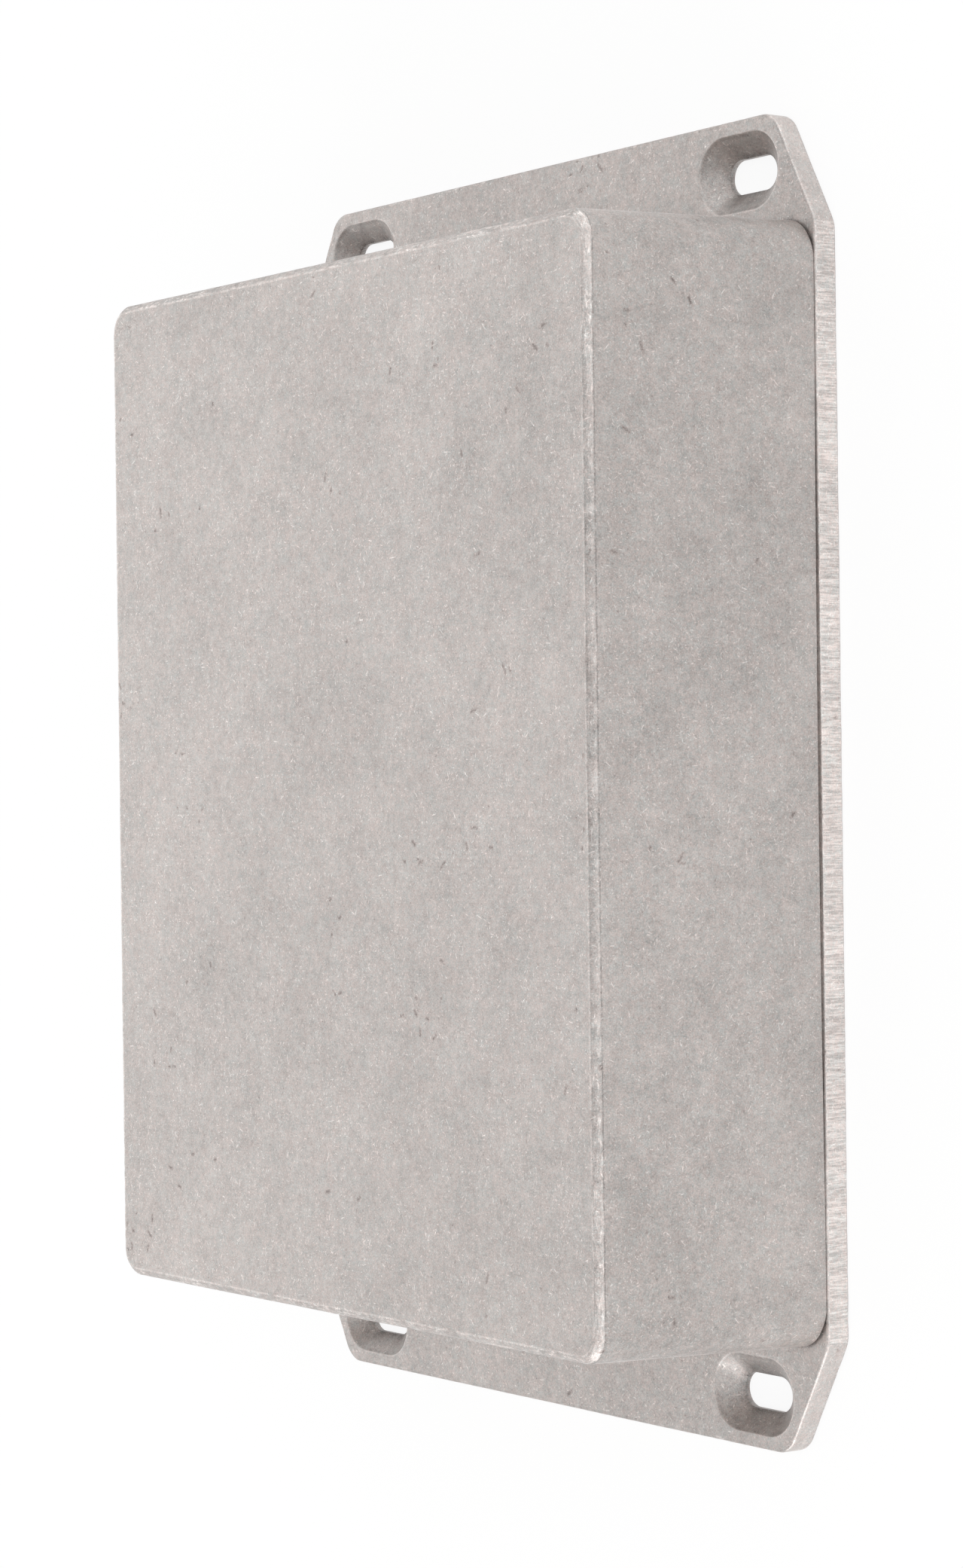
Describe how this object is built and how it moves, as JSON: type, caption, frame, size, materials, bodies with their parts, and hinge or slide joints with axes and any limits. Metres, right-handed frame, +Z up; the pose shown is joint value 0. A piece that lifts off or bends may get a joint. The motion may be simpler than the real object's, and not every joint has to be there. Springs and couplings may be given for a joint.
{
  "type": "die cast aluminium box",
  "caption": "Drafted die cast aluminium box closed by a flanged lid with deep countersunk fixing slots and hidden lid screws.",
  "frame": {"origin": "middle of the lid's underside, on the surface that the box lies on or is bolted to", "axes": "+Z up from the lid to the closed face, +Y along the box towards one flange, +X across the box, along the slots"},
  "size_m": [0.1216, 0.174, 0.039],
  "materials": {
    "cast_body": "bare tumbled casting",
    "cast_lid": "bare tumbled casting with trimmed edges",
    "lid_screw": "zinc plated steel"
  },
  "bodies": {
    "root": {"box_body": "cast_body", "flanged_lid": "cast_lid", "lid_screw_1": "lid_screw", "lid_screw_2": "lid_screw", "lid_screw_3": "lid_screw", "lid_screw_4": "lid_screw"}
  },
  "joints": []
}
